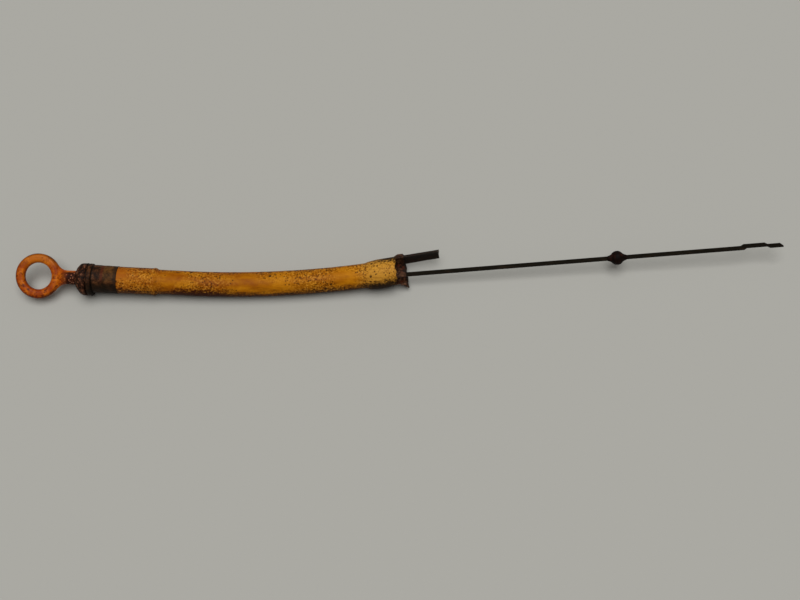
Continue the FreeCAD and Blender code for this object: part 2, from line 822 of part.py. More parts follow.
def lying_pose():
    """Turn that lays the rim, the belly of the bend and the bell on the floor together.

    Seen from the side, the straight run falls at a slope and the bend rises from it by its height
    times the sine of the roll. The belly touches where the two cancel. The rim reaches lower by
    its drop times the same sine. Setting the rim and the bell on the same floor leaves one
    quadratic for the slope, and its larger root is the one whose belly lies on the bend."""
    rim_at = value(f"{RIM_END} - Dims.rim_back_round")
    drop = size("rim_drop")
    bend = size("bend_radius")
    bell_at = value(f"{BELL_FRAME[0]} + Dims.bell_crest * cos{BELL_FRAME[2]}")
    bell_side = value(f"{BELL_FRAME[1]} + Dims.bell_crest * sin{BELL_FRAME[2]}") + drop
    between = bell_at - rim_at
    rim_over_bell = size("rim_radius") - size("bell_radius")
    rim_over_tube = size("rim_radius") - size("tube_radius")
    before_bend = size("straight_run") - rim_at
    share = drop / bell_side
    square = bend * bell_side / 2 + between * before_bend - share * between**2
    linear = between * rim_over_tube + rim_over_bell * before_bend - 2 * share * between * rim_over_bell
    free = rim_over_bell * rim_over_tube - share * rim_over_bell**2
    spread = max(linear**2 - 4 * square * free, 0)
    slope = (linear + math.sqrt(spread)) / (2 * square)
    roll_sine = (slope * between - rim_over_bell) / bell_side
    roll = math.degrees(math.asin(max(-1, min(1, roll_sine))))
    pitch = math.degrees(math.atan(slope))
    tip_down = FreeCAD.Rotation(FreeCAD.Vector(0, 1, 0), pitch)
    roll_over = FreeCAD.Rotation(FreeCAD.Vector(1, 0, 0), roll)
    return tip_down * roll_over


bodies = (handle, stopper, collar, guide_tube, blade, bead)
doc.recompute()
for item in doc.Objects:
    if "Invalid" in item.State or "Error" in item.State:
        raise RuntimeError(f"{item.Name} did not build")

# The origin is the middle of the part's footprint, on the floor.
turned = FreeCAD.Placement(FreeCAD.Vector(), lying_pose())
for body in bodies:
    body.Placement = turned
doc.recompute()
box = Part.makeCompound([body.Shape for body in bodies]).optimalBoundingBox(False, False)
shift = FreeCAD.Vector(-box.Center.x, -box.Center.y, -box.ZMin)
for body in bodies:
    body.Placement = FreeCAD.Placement(shift, turned.Rotation)
doc.recompute()

os.makedirs("parts", exist_ok=True)
for body in bodies:
    shape = body.Shape
    if shape.isNull() or not shape.isValid() or len(shape.Solids) != 1:
        raise RuntimeError(f"{body.Label} is not one sound solid")
    shape.exportStep(f"parts/{body.Label}.step")
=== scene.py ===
import math
from functools import partial

import bmesh
import bpy
from mathutils import Matrix, Vector, noise


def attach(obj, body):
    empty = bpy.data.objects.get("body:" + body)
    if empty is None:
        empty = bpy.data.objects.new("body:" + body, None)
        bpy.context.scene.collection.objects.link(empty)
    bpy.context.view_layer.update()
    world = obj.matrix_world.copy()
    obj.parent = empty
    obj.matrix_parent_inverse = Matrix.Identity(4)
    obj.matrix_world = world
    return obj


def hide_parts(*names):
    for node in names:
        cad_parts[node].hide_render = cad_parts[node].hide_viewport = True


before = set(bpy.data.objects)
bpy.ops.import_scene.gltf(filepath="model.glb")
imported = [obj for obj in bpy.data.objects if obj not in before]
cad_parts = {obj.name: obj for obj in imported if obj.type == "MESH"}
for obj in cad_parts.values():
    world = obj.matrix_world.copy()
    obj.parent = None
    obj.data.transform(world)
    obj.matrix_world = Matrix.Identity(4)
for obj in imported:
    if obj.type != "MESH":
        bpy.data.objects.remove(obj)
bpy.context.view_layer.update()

# Pieces are drawn in mm in the working frame of the part's source: X along the straight upper run
# of the tube, Y to the inside of its bend, Z up out of the bend. LIE then lays them down.
MM = 0.001
TIP = math.radians(1.871304)
ROLL = math.radians(23.873693)
SHIFT = Vector((-236.10446, -16.16722, 12.72945)) * MM
TURNED = Matrix.Rotation(TIP, 4, "Y") @ Matrix.Rotation(ROLL, 4, "X")
LIE = Matrix.Translation(SHIFT) @ TURNED @ Matrix.Scale(MM, 4)

# Stations along X, radii and lengths, in mm, and turns. The dome, the ridge and the foot of the bell
# are eased a little past the solids, and the rest follows them.
RING_BACK = 34.1
RING_REACH = 16.9
STEM = 5.25
STEM_PIN = 3.6
STEM_END = -5.2
HEAD_FRONT = -5.7
HEAD_FRONT_RADIUS = 6.1
DOME = [(-3.7, 9.4), (-1.5, 11.7)]
HEAD_DROP = 0.9
HEAD_TILT = math.radians(5)
FLANGE = 12.2
FLANGE_BACK = 3.2
SEAT = 4.0
SEAT_RADIUS = 10.6
PLUG_CORE = 6.4
PLUG_LIP = 6.95
LIP_STARTS = (6.4, 11.4, 16.4)
LIP_TOP = 1.2
LIP_TOP_END = 2.0
LIP_END = 2.8
PLUG_END = 21.0
PLUG_CHAMFER = 1.0
RIM = 12.2
RIM_INNER = 9.6
RIM_END = 7.9
RIM_DROP = 0.8
SLEEVE = 10.6
SLEEVE_END_RADIUS = 10.35
COLLAR_END = 26.3
TUBE_TOP = 6.2
BORE = 7.0
SPIGOT = 8.5
TUBE = 9.3
BAND = 10.1
BAND_END = 51.4
RIDGE = 10.45
RIDGE_START = 53.0
RIDGE_END = 54.0
RIDGE_FOOT = 56.2
STRAIGHT_RUN = 75.0
BEND_RADIUS = 745.0
BEND_TURN = math.radians(10.28)
BELL_START = STRAIGHT_RUN + BEND_RADIUS * BEND_TURN
BELL_DROP = 0.7
BELL_COCK = math.radians(2)
STRIP_RUN = 66.5
STRIP_RADIUS = 931.6
STRIP_TURN = math.radians(7.37)
STRIP_START = STRIP_RUN + STRIP_RADIUS * STRIP_TURN
BEAD_STATION = 214.3
BALL = 5.4
BALL_EDGE = math.radians(33.56)
TAIL = 7.2
TAIL_RADIUS = 1.9

# The bell's stations run from its own start.
BELL_FOOT = 3.2
BELL_FOOT_RADIUS = 9.6
BELL_RAMP = 6.5
BELL_RAMP_RADIUS = 10.6
BELL_CREST = 13.0
BELL = 11.2
BELL_MOUTH = 11.0
SOCKET = 9.4
SHOULDER = 9.0
UPPER_BREAK = 25.3
UNDER_BREAK = 34.0
TONGUE_ROOT = 35.2
TONGUE_INNER = 4.7
TONGUE_END = 60.6
TONGUE_WORN = 0.6

# Edges that turn more sharply than this stay crisp, and points this close, in mm, are one point.
CRISP = math.radians(32)
SAME = 0.0005
SAME_AT_TEARS = 0.01

# Blocks that break the tube: how far their walls wander and the size of that wander, in mm, and the
# cuts that divide their upright and level edges.
RAG = 0.3
NOTCH_RAG = 0.25
FINE_RAG = 0.15
RAG_SIZE = 1.3
UPRIGHT_CUTS = 11
LEVEL_CUTS = 3

# Slanted direction along which hardly any two points of a shape lie level.
SLANT = Vector((1.0, 0.61803, 0.41421))

# Stations, in mm, between which the tube's stains come in, from none to full.
REDDENED = (60.0, 27.0)
WARMED = (115.0, 150.0)
SANDY = (205.0, 216.0)
STAINED = (58.0, 74.0)
STAIN_PASSED = (118.0, 98.0)
BLACK_INSIDE = (217.0, 228.0)
BLACK_PAST_BREAK = (233.5, 236.5)
BLACK_TEAR = (240.6, 242.0)
BARE_TONGUE_END = (267.0, 269.0)

# Where soot crowds on the tube, in mm: the middle of each place and how far it reaches.
SOOT_CROWDS = ((48.0, 16.0), (96.0, 24.0), (170.0, 24.0), (208.0, 6.0), (231.0, 9.0))

# Soot specks: cell size in mm, the share of cells that have one at most, and its reach in its cell.
SPECKS = ((1.4, 0.5, 0.46), (4.2, 0.3, 0.3))

# Stains of the collar and the stopper, in mm: stations between which they come in, the middle of the
# red band, and the corners darkened as painted shade, each with its reach.
COLLAR_WORN = (14.0, 17.0)
COLLAR_RED = 15.3
COLLAR_DARK_END = (22.8, 24.4)
COLLAR_SHADED_CORNERS = ((SEAT, 1.0), (RIM_END, 0.9))
PLUG_OILY = (3.0, 4.2)

# Stains of the handle, with painted light over the ring's top and partly painted shade round its edge, in
# m of the working frame, and of the strip, in m along the part: where they come in, from none to full.
RING_PAINTED_LIT = (6 * MM, 13 * MM)
RING_SPOTTED = (6 * MM, -6 * MM)
RING_EDGE = ((RING_REACH - 1.9) * MM, (RING_REACH - 0.4) * MM)
RING_ALONE = (-19 * MM, -22 * MM)
NECK_CAKED = (-20.5 * MM, -6 * MM)
NECK_CLEAN = (4.6 * MM, 3.4 * MM)
STRIP_CAKED = (5.6 * MM, 4.2 * MM)
STRIP_DEEP = (-22 * MM, -18 * MM)

# Crust of burnt oil on the torn wall and on the strip beside it: its grain in mm and its colours.
CRUST_GRAIN = 2.2
CRUST = [(0.4, "#160701"), (0.5, "#3C200E"), (0.62, "#664630")]

# Inputs of a Mix node that mixes colours.
SHARE = 0
UNDER = 6
OVER = 7


def colour(hexed):
    """Linear RGBA of an sRGB hex value."""
    parts = [int(hexed[i : i + 2], 16) / 255 for i in (1, 3, 5)]
    linear = [c / 12.92 if c <= 0.04045 else ((c + 0.055) / 1.055) ** 2.4 for c in parts]
    return (*linear, 1.0)


def grain(size):
    """Texture scale whose features are about this many mm across."""
    return 1 / (size * MM)


def node(tree, kind, inputs=None, ramp=(), **settings):
    """Adds one node: its settings, a ramp's stops, and what feeds its inputs, each a value, a socket,
    or a node whose first live output is taken."""
    made = tree.nodes.new(kind)
    for name, setting in settings.items():
        setattr(made, name, setting)
    for number, (place, stop) in enumerate(ramp):
        stops = made.color_ramp.elements
        spot = stops[number] if number < len(stops) else stops.new(place)
        spot.position = place
        spot.color = colour(stop)
    for name, fed in (inputs or {}).items():
        if isinstance(fed, bpy.types.Node):
            fed = next(out for out in fed.outputs if out.enabled)
        if isinstance(fed, bpy.types.NodeSocket):
            tree.links.new(fed, made.inputs[name])
        else:
            made.inputs[name].default_value = fed
    return made


def new_material(name):
    """Empty material and the function that adds its nodes."""
    made = bpy.data.materials.new(name)
    made.use_nodes = True
    made.node_tree.nodes.clear()
    return made, partial(node, made.node_tree)


def yellow_nylon():
    # Nylon, injection moulded and long soaked in oil: a warm satin yellow that browns in blotches,
    # peppered with soot, streaked along its length and edged with ragged grime, the lower edge partly
    # painted shade.
    made, add = new_material("oil_stained_yellow_nylon")
    place = add("ShaderNodeTexCoord").outputs["Object"]
    along = add("ShaderNodeAttribute", attribute_name="along").outputs["Fac"]
    side = add("ShaderNodeAttribute", attribute_name="side").outputs["Fac"]
    drawn_out = add("ShaderNodeMapping", {"Vector": place, "Scale": (0.4, 1, 1)})
    blotch = {"Vector": drawn_out, "Scale": grain(8), "Detail": 5, "Roughness": 0.62}
    blotch = add("ShaderNodeTexNoise", blotch)
    yellows = [(0.36, "#874400"), (0.5, "#9D5A00"), (0.66, "#B9760C")]
    base = add("ShaderNodeValToRGB", {"Fac": blotch}, yellows)
    # redder next to the collar, warmer along the bend, paler and sandier on the bell
    near = {"Value": along, "From Min": REDDENED[0], "From Max": REDDENED[1], "To Max": 0.6}
    near = add("ShaderNodeMapRange", near)
    base = add("ShaderNodeMix", {SHARE: near, UNDER: base, OVER: colour("#9A4F10")}, data_type="RGBA")
    warm = {"Value": along, "From Min": WARMED[0], "From Max": WARMED[1], "To Max": 0.35}
    warm = add("ShaderNodeMapRange", warm)
    base = add("ShaderNodeMix", {SHARE: warm, UNDER: base, OVER: colour("#BE7806")}, data_type="RGBA")
    bell = add("ShaderNodeMapRange", {"Value": along, "From Min": SANDY[0], "From Max": SANDY[1]})
    paler = add("ShaderNodeMath", {0: bell, 1: 0.65}, operation="MULTIPLY")
    base = add("ShaderNodeMix", {SHARE: paler, UNDER: base, OVER: colour("#C69136")}, data_type="RGBA")
    # red-brown streaks, thickest on the outside of the bend
    long_way = add("ShaderNodeMapping", {"Vector": place, "Scale": (0.16, 1, 1)})
    streak = {"Vector": long_way, "Scale": grain(2.2), "Detail": 7, "Roughness": 0.75}
    streak = add("ShaderNodeTexNoise", streak)
    outside = {"Value": side, "From Min": 0.3, "From Max": -0.9, "To Max": 0.25}
    outside = add("ShaderNodeMapRange", outside)
    smear = add("ShaderNodeMath", {0: streak, 1: outside}, operation="ADD")
    smear = add("ShaderNodeMapRange", {"Value": smear, "From Min": 0.6, "From Max": 0.9, "To Max": 0.7})
    base = add("ShaderNodeMix", {SHARE: smear, UNDER: base, OVER: colour("#6A3402")}, data_type="RGBA")
    # where the soot crowds: in clusters, on the band, twice along the bend and at both ends of the bell
    cluster = add("ShaderNodeTexNoise", {"Vector": drawn_out, "Scale": grain(13), "Detail": 3})
    crowd = add("ShaderNodeMapRange", {"Value": cluster, "From Min": 0.44, "From Max": 0.66})
    for middle, reach in SOOT_CROWDS:
        off = add("ShaderNodeMath", {0: along, 1: middle}, operation="SUBTRACT")
        off = add("ShaderNodeMath", {0: off}, operation="ABSOLUTE")
        off = {"Value": off, "From Min": reach, "From Max": 0.0, "To Max": 0.8}
        off = add("ShaderNodeMapRange", off)
        crowd = add("ShaderNodeMath", {0: crowd, 1: off}, operation="ADD", use_clamp=True)
    # a grainy film, brown with bare yellow grains, thickest there
    film = {"Vector": place, "Scale": grain(1.5), "Detail": 4, "Roughness": 0.75}
    film = add("ShaderNodeTexNoise", film)
    brown = {"Value": film, "From Min": 0.49, "From Max": 0.6, "To Max": 0.75}
    brown = add("ShaderNodeMapRange", brown)
    brown = add("ShaderNodeMath", {0: brown, 1: crowd}, operation="MULTIPLY")
    base = add("ShaderNodeMix", {SHARE: brown, UNDER: base, OVER: colour("#5A2C00")}, data_type="RGBA")
    bare = {"Value": film, "From Min": 0.48, "From Max": 0.38, "To Max": 0.7}
    bare = add("ShaderNodeMapRange", bare)
    bare = add("ShaderNodeMath", {0: bare, 1: crowd}, operation="MULTIPLY")
    base = add("ShaderNodeMix", {SHARE: bare, UNDER: base, OVER: colour("#CE9438")}, data_type="RGBA")
    # soot specks, fine and coarse; the fine ones are drawn coarser than they really are
    for size, share, spread in SPECKS:
        cell = add("ShaderNodeTexVoronoi", {"Vector": place, "Scale": grain(size)})
        chance = add("ShaderNodeSeparateColor", {"Color": cell.outputs["Color"]})
        likely = add("ShaderNodeMath", {0: crowd, 1: share}, operation="MULTIPLY")
        chosen = add("ShaderNodeMath", {0: chance, 1: likely}, operation="LESS_THAN")
        off = cell.outputs["Distance"]
        dot = {"Value": off, "From Min": spread, "From Max": spread * 0.6, "To Max": 0.85}
        dot = add("ShaderNodeMapRange", dot)
        speck = add("ShaderNodeMath", {0: dot, 1: chosen}, operation="MULTIPLY")
        base = add("ShaderNodeMix", {SHARE: speck, UNDER: base, OVER: colour("#2E1602")}, data_type="RGBA")
    # a ragged dark band along the outside of the bend, which faces down, partly grime and partly painted
    # shade;
    # and a thin line of grime along the inside
    rag = {"Value": film, "From Min": 0.3, "From Max": 0.7, "To Min": -0.22, "To Max": 0.22}
    rag = add("ShaderNodeMapRange", rag)
    wander = {"Value": streak, "From Min": 0.3, "From Max": 0.7, "To Min": -0.2, "To Max": 0.2}
    wander = add("ShaderNodeMapRange", wander)
    rag = add("ShaderNodeMath", {0: rag, 1: wander}, operation="ADD")
    down = add("ShaderNodeMath", {0: side, 1: rag}, operation="SUBTRACT")
    low = add("ShaderNodeMapRange", {"Value": down, "From Min": -0.63, "From Max": -0.95, "To Max": 0.9})
    base = add("ShaderNodeMix", {SHARE: low, UNDER: base, OVER: colour("#2A1202")}, data_type="RGBA")
    up = add("ShaderNodeMath", {0: side, 1: rag}, operation="ADD")
    high = add("ShaderNodeMapRange", {"Value": up, "From Min": 0.84, "From Max": 1.05, "To Max": 0.85})
    base = add("ShaderNodeMix", {SHARE: high, UNDER: base, OVER: colour("#3A1E04")}, data_type="RGBA")
    # a dark red stain low on the upper run
    stain = add("ShaderNodeMapRange", {"Value": along, "From Min": STAINED[0], "From Max": STAINED[1]})
    fade = {"Value": along, "From Min": STAIN_PASSED[0], "From Max": STAIN_PASSED[1]}
    fade = add("ShaderNodeMapRange", fade)
    stain = add("ShaderNodeMath", {0: stain, 1: fade}, operation="MULTIPLY")
    below = {"Value": down, "From Min": -0.45, "From Max": -0.7, "To Max": 0.85}
    below = add("ShaderNodeMapRange", below)
    stain = add("ShaderNodeMath", {0: stain, 1: below}, operation="MULTIPLY")
    base = add("ShaderNodeMix", {SHARE: stain, UNDER: base, OVER: colour("#300A02")}, data_type="RGBA")
    # the bell's outer flank, which faces down, is darker, partly with oil and partly as painted shade, and
    # all that stands past its broken edge is black with oil
    flank = add("ShaderNodeMapRange", {"Value": down, "From Min": -0.37, "From Max": -0.72})
    flank = add("ShaderNodeMath", {0: flank, 1: bell}, operation="MULTIPLY")
    inner = add("ShaderNodeMapRange", {"Value": up, "From Min": 0.6, "From Max": 0.8})
    nearby = {"Value": along, "From Min": BLACK_INSIDE[0], "From Max": BLACK_INSIDE[1]}
    nearby = add("ShaderNodeMapRange", nearby)
    inner = add("ShaderNodeMath", {0: inner, 1: nearby}, operation="MULTIPLY")
    black = add("ShaderNodeMath", {0: flank, 1: inner}, operation="ADD")
    past = {"Value": along, "From Min": BLACK_PAST_BREAK[0], "From Max": BLACK_PAST_BREAK[1]}
    past = add("ShaderNodeMapRange", past)
    black = add("ShaderNodeMath", {0: black, 1: past}, operation="ADD")
    black = add("ShaderNodeMapRange", {"Value": black, "To Max": 0.93})
    base = add("ShaderNodeMix", {SHARE: black, UNDER: base, OVER: colour("#1B0F04")}, data_type="RGBA")
    bump = add("ShaderNodeBump", {"Height": film, "Strength": 0.25, "Distance": 0.4 * MM})
    rough = {"Value": blotch, "From Min": 0.3, "From Max": 0.7, "To Min": 0.42, "To Max": 0.6}
    rough = add("ShaderNodeMapRange", rough)
    # grime dulls the gloss of every piece, so each has a low specular level
    finish = {"Roughness": rough, "Normal": bump, "IOR": 1.53, "Specular IOR Level": 0.06}
    shader = add("ShaderNodeBsdfPrincipled", {"Base Color": base, **finish})
    add("ShaderNodeOutputMaterial", {"Surface": shader})
    return made


def sooty_nylon():
    # The same nylon inside the tube and where it has torn: oil has blacked it, and the tear is dull
    # and grainy with a few rust-red spots.
    made, add = new_material("torn_sooty_nylon")
    place = add("ShaderNodeTexCoord").outputs["Object"]
    along = add("ShaderNodeAttribute", attribute_name="along").outputs["Fac"]
    mottle = {"Vector": place, "Scale": grain(CRUST_GRAIN), "Detail": 6, "Roughness": 0.75}
    mottle = add("ShaderNodeTexNoise", mottle)
    base = add("ShaderNodeValToRGB", {"Fac": mottle}, CRUST)
    spot = add("ShaderNodeTexNoise", {"Vector": place, "Scale": grain(4.5), "Detail": 2})
    spot = add("ShaderNodeMapRange", {"Value": spot, "From Min": 0.58, "From Max": 0.68, "To Max": 0.75})
    base = add("ShaderNodeMix", {SHARE: spot, UNDER: base, OVER: colour("#541508")}, data_type="RGBA")
    # the torn edge and the tongue past it are black, and the tongue's broken end is paler
    tear = {"Value": along, "From Min": BLACK_TEAR[0], "From Max": BLACK_TEAR[1], "To Max": 0.88}
    tear = add("ShaderNodeMapRange", tear)
    base = add("ShaderNodeMix", {SHARE: tear, UNDER: base, OVER: colour("#0F0A05")}, data_type="RGBA")
    bare = {"Value": along, "From Min": BARE_TONGUE_END[0], "From Max": BARE_TONGUE_END[1]}
    bare = add("ShaderNodeMapRange", bare)
    worn = {"Value": mottle, "From Min": 0.42, "From Max": 0.58, "To Max": 0.75}
    worn = add("ShaderNodeMapRange", worn)
    bare = add("ShaderNodeMath", {0: bare, 1: worn}, operation="MULTIPLY")
    base = add("ShaderNodeMix", {SHARE: bare, UNDER: base, OVER: colour("#554D43")}, data_type="RGBA")
    bump = add("ShaderNodeBump", {"Height": mottle, "Strength": 0.5, "Distance": 0.6 * MM})
    finish = {"Roughness": 0.62, "Normal": bump, "IOR": 1.53, "Specular IOR Level": 0.12}
    shader = add("ShaderNodeBsdfPrincipled", {"Base Color": base, **finish})
    add("ShaderNodeOutputMaterial", {"Surface": shader})
    return made


def orange_nylon():
    # Pigmented nylon, moulded smooth and polished by hands: a strong orange, lighter over the ring's top
    # as painted light, with dark red spots, most of them low on the ring, a dark line round its outer edge
    # that is partly dirt and partly painted shade, and more dirt on the neck where it meets the rubber,
    # its pale crumbs partly painted glints.
    made, add = new_material("handled_orange_nylon")
    place = add("ShaderNodeTexCoord").outputs["Object"]
    upright = {"Vector": place, "Location": SHIFT, "Rotation": (ROLL, TIP, 0)}
    drawn = add("ShaderNodeMapping", upright, vector_type="TEXTURE")
    axes = add("ShaderNodeSeparateXYZ", {"Vector": drawn}).outputs
    fade = {"Vector": place, "Scale": grain(7), "Detail": 5, "Roughness": 0.65}
    fade = add("ShaderNodeTexNoise", fade)
    oranges = [(0.38, "#823000"), (0.5, "#9C4402"), (0.64, "#BE640C")]
    base = add("ShaderNodeValToRGB", {"Fac": fade}, oranges)
    # painted light: the ring's top is lighter
    lit_top = {"Value": axes["Y"], "From Min": RING_PAINTED_LIT[0], "From Max": RING_PAINTED_LIT[1], "To Max": 0.55}
    lit_top = add("ShaderNodeMapRange", lit_top)
    base = add("ShaderNodeMix", {SHARE: lit_top, UNDER: base, OVER: colour("#C67418")}, data_type="RGBA")
    spot = {"Vector": place, "Scale": grain(2.5), "Detail": 4, "Roughness": 0.75}
    spot = add("ShaderNodeTexNoise", spot)
    spot = add("ShaderNodeMapRange", {"Value": spot, "From Min": 0.53, "From Max": 0.59})
    low = {"Value": axes["Y"], "From Min": RING_SPOTTED[0], "From Max": RING_SPOTTED[1]}
    low = add("ShaderNodeMapRange", {**low, "To Min": 0.4, "To Max": 0.9})
    spot = add("ShaderNodeMath", {0: spot, 1: low}, operation="MULTIPLY")
    base = add("ShaderNodeMix", {SHARE: spot, UNDER: base, OVER: colour("#4A1002")}, data_type="RGBA")
    # a dark line round the ring's outer edge, partly dirt and partly painted shade
    centre = add("ShaderNodeVectorMath", {0: drawn, 1: (RING_BACK * MM, 0, 0)}, operation="ADD")
    flat = add("ShaderNodeVectorMath", {0: centre, 1: (1, 1, 0)}, operation="MULTIPLY")
    reach = add("ShaderNodeVectorMath", {0: flat}, operation="LENGTH").outputs["Value"]
    edge = add("ShaderNodeMapRange", {"Value": reach, "From Min": RING_EDGE[0], "From Max": RING_EDGE[1]})
    eaten = {"Value": fade, "From Min": 0.3, "From Max": 0.6, "To Max": 0.85}
    eaten = add("ShaderNodeMapRange", eaten)
    edge = add("ShaderNodeMath", {0: edge, 1: eaten}, operation="MULTIPLY")
    ring = {"Value": axes["X"], "From Min": RING_ALONE[0], "From Max": RING_ALONE[1]}
    ring = add("ShaderNodeMapRange", ring)
    edge = add("ShaderNodeMath", {0: edge, 1: ring}, operation="MULTIPLY")
    base = add("ShaderNodeMix", {SHARE: edge, UNDER: base, OVER: colour("#3E1604")}, data_type="RGBA")
    # dirt that thickens towards the rubber, with paler crumbs in it that are partly dust and partly
    # painted glints
    neck = {"Value": axes["X"], "From Min": NECK_CAKED[0], "From Max": NECK_CAKED[1]}
    neck = add("ShaderNodeMapRange", neck)
    dirt = {"Vector": place, "Scale": grain(2.4), "Detail": 6, "Roughness": 0.78}
    dirt = add("ShaderNodeTexNoise", dirt)
    caked = add("ShaderNodeMath", {0: dirt, 1: neck}, operation="ADD")
    caked = add("ShaderNodeMapRange", {"Value": caked, "From Min": 0.8, "From Max": 1.15, "To Max": 0.95})
    clean = {"Value": axes["Y"], "From Min": NECK_CLEAN[0], "From Max": NECK_CLEAN[1]}
    clean = add("ShaderNodeMapRange", clean)
    caked = add("ShaderNodeMath", {0: caked, 1: clean}, operation="MULTIPLY")
    base = add("ShaderNodeMix", {SHARE: caked, UNDER: base, OVER: colour("#1C0601")}, data_type="RGBA")
    # pale crumbs on the dirt, partly dust and partly painted glints
    crumb_and_glint = add("ShaderNodeTexVoronoi", {"Vector": place, "Scale": grain(1.7)})
    crumb_and_glint = add("ShaderNodeMapRange", {"Value": crumb_and_glint, "From Min": 0.34, "From Max": 0.18, "To Max": 0.85})
    crumb_and_glint = add("ShaderNodeMath", {0: crumb_and_glint, 1: caked}, operation="MULTIPLY")
    base = add("ShaderNodeMix", {SHARE: crumb_and_glint, UNDER: base, OVER: colour("#A86A4C")}, data_type="RGBA")
    bump = add("ShaderNodeBump", {"Height": dirt, "Strength": 0.2, "Distance": 0.4 * MM})
    rough = add("ShaderNodeMapRange", {"Value": caked, "To Min": 0.36, "To Max": 0.62})
    finish = {"Roughness": rough, "Normal": bump, "IOR": 1.53, "Specular IOR Level": 0.08}
    shader = add("ShaderNodeBsdfPrincipled", {"Base Color": base, **finish})
    add("ShaderNodeOutputMaterial", {"Surface": shader})
    return made


def caked_rubber():
    # Nitrile rubber, moulded and swollen by oil: brown-black and smooth on the plug, matt on the head,
    # which is caked with dust that shows as paler crumbs.
    made, add = new_material("caked_nitrile_rubber")
    place = add("ShaderNodeTexCoord").outputs["Object"]
    along = add("ShaderNodeAttribute", attribute_name="along").outputs["Fac"]
    cake = {"Vector": place, "Scale": grain(2.2), "Detail": 7, "Roughness": 0.75}
    cake = add("ShaderNodeTexNoise", cake)
    crumbs = [(0.42, "#0C0300"), (0.52, "#2B1204"), (0.64, "#7C4E36")]
    base = add("ShaderNodeValToRGB", {"Fac": cake}, crumbs)
    oily = {"Value": along, "From Min": PLUG_OILY[0], "From Max": PLUG_OILY[1], "To Max": 0.85}
    oily = add("ShaderNodeMapRange", oily)
    base = add("ShaderNodeMix", {SHARE: oily, UNDER: base, OVER: colour("#150C06")}, data_type="RGBA")
    bump = add("ShaderNodeBump", {"Height": cake, "Strength": 0.3, "Distance": 0.6 * MM})
    rough = add("ShaderNodeMapRange", {"Value": oily, "To Min": 0.6, "To Max": 0.4})
    finish = {"Roughness": rough, "Normal": bump, "IOR": 1.52, "Specular IOR Level": 0.08}
    shader = add("ShaderNodeBsdfPrincipled", {"Base Color": base, **finish})
    add("ShaderNodeOutputMaterial", {"Surface": shader})
    return made


def sleeve_rubber():
    # Rubber sleeve, moulded, varnished by old oil: dark brown, paler and worn over its lower half,
    # with a reddish band where the two meet, painted shade in its corners and partly painted shade low
    # down.
    made, add = new_material("oil_varnished_sleeve_rubber")
    place = add("ShaderNodeTexCoord").outputs["Object"]
    along = add("ShaderNodeAttribute", attribute_name="along").outputs["Fac"]
    side = add("ShaderNodeAttribute", attribute_name="side").outputs["Fac"]
    film = {"Vector": place, "Scale": grain(3.5), "Detail": 6, "Roughness": 0.7}
    film = add("ShaderNodeTexNoise", film)
    browns = [(0.38, "#140700"), (0.5, "#2E1706"), (0.62, "#56341C")]
    base = add("ShaderNodeValToRGB", {"Fac": film}, browns)
    worn = {"Value": along, "From Min": COLLAR_WORN[0], "From Max": COLLAR_WORN[1]}
    worn = add("ShaderNodeMapRange", worn)
    upper = add("ShaderNodeMapRange", {"Value": side, "From Min": -0.3, "From Max": 0.1})
    worn = add("ShaderNodeMath", {0: worn, 1: upper}, operation="MULTIPLY")
    rubbed = {"Value": film, "From Min": 0.3, "From Max": 0.6, "To Max": 0.9}
    rubbed = add("ShaderNodeMapRange", rubbed)
    worn = add("ShaderNodeMath", {0: worn, 1: rubbed}, operation="MULTIPLY")
    base = add("ShaderNodeMix", {SHARE: worn, UNDER: base, OVER: colour("#5D3C17")}, data_type="RGBA")
    red = add("ShaderNodeMath", {0: along, 1: COLLAR_RED}, operation="SUBTRACT")
    red = add("ShaderNodeMath", {0: red}, operation="ABSOLUTE")
    red = add("ShaderNodeMapRange", {"Value": red, "From Min": 1.5, "From Max": 0.4, "To Max": 0.7})
    red = add("ShaderNodeMath", {0: red, 1: upper}, operation="MULTIPLY")
    base = add("ShaderNodeMix", {SHARE: red, UNDER: base, OVER: colour("#4E1D0A")}, data_type="RGBA")
    # darker on the lower side, which faces down, partly as painted shade
    low = add("ShaderNodeMapRange", {"Value": side, "From Min": -0.28, "From Max": -0.5, "To Max": 0.8})
    base = add("ShaderNodeMix", {SHARE: low, UNDER: base, OVER: colour("#150D04")}, data_type="RGBA")
    # painted shade in the groove before the rim and in the corner behind it
    for shaded_corner, reach in COLLAR_SHADED_CORNERS:
        off = add("ShaderNodeMath", {0: along, 1: shaded_corner}, operation="SUBTRACT")
        off = add("ShaderNodeMath", {0: off}, operation="ABSOLUTE")
        off = {"Value": off, "From Min": reach, "From Max": 0.2, "To Max": 0.85}
        off = add("ShaderNodeMapRange", off)
        base = add("ShaderNodeMix", {SHARE: off, UNDER: base, OVER: colour("#0A0400")}, data_type="RGBA")
    end = {"Value": along, "From Min": COLLAR_DARK_END[0], "From Max": COLLAR_DARK_END[1], "To Max": 0.75}
    end = add("ShaderNodeMapRange", end)
    base = add("ShaderNodeMix", {SHARE: end, UNDER: base, OVER: colour("#1C1007")}, data_type="RGBA")
    bump = add("ShaderNodeBump", {"Height": film, "Strength": 0.35, "Distance": 0.6 * MM})
    finish = {"Roughness": 0.55, "Normal": bump, "IOR": 1.52, "Specular IOR Level": 0.08}
    shader = add("ShaderNodeBsdfPrincipled", {"Base Color": base, **finish})
    add("ShaderNodeOutputMaterial", {"Surface": shader})
    return made


